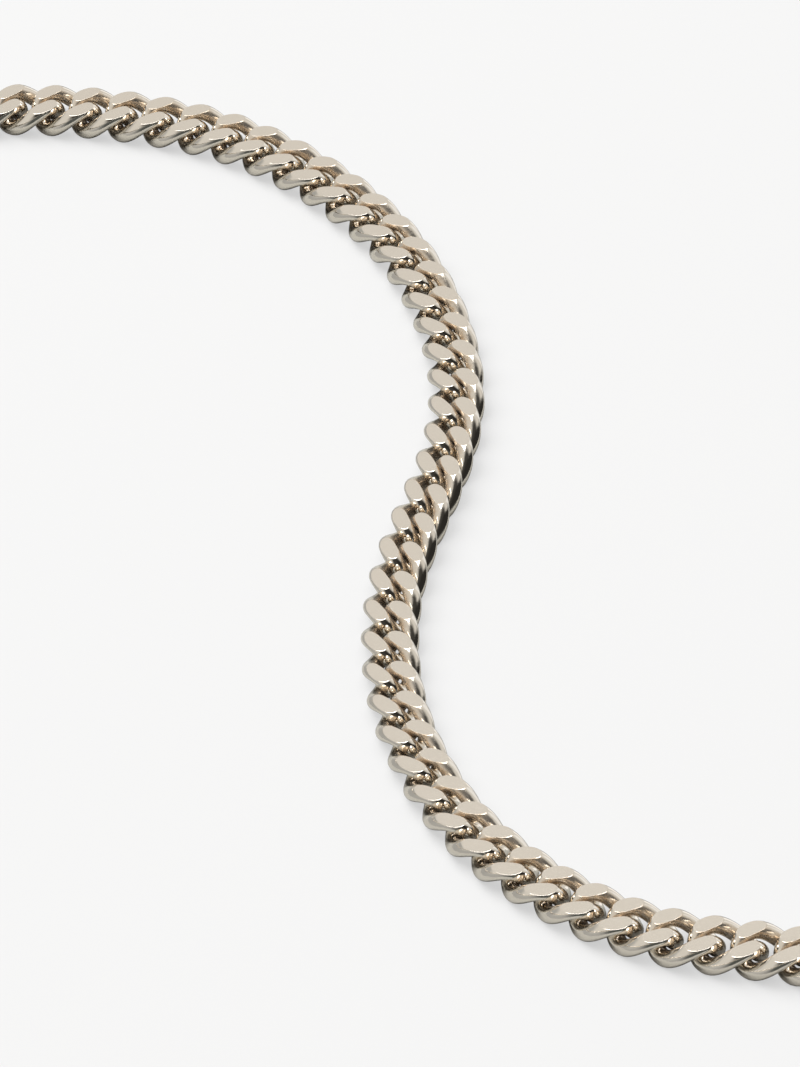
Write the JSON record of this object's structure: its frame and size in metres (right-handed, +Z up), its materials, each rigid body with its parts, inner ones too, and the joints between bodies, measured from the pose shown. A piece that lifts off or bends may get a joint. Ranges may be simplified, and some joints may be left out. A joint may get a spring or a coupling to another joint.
{
  "type": "curb chain necklace",
  "caption": "Polished silver curb chain necklace of flat-cut twisted links, closed by a small clasp and laid flat in a loose S.",
  "frame": {"origin": "on the table, under the middle of the whole closed loop", "axes": "+Z up from the table, +Y away from the viewer along the loop's length, +X to the viewer's right"},
  "size_m": [0.133, 0.2117, 0.0038],
  "materials": {
    "polished_silver": "polished sterling silver with a warm cast"
  },
  "bodies": {
    "root": {"upper_links": "polished_silver", "lower_links": "polished_silver", "clasp": "polished_silver", "tail_ring": "polished_silver", "nose_ring": "polished_silver"}
  },
  "joints": []
}
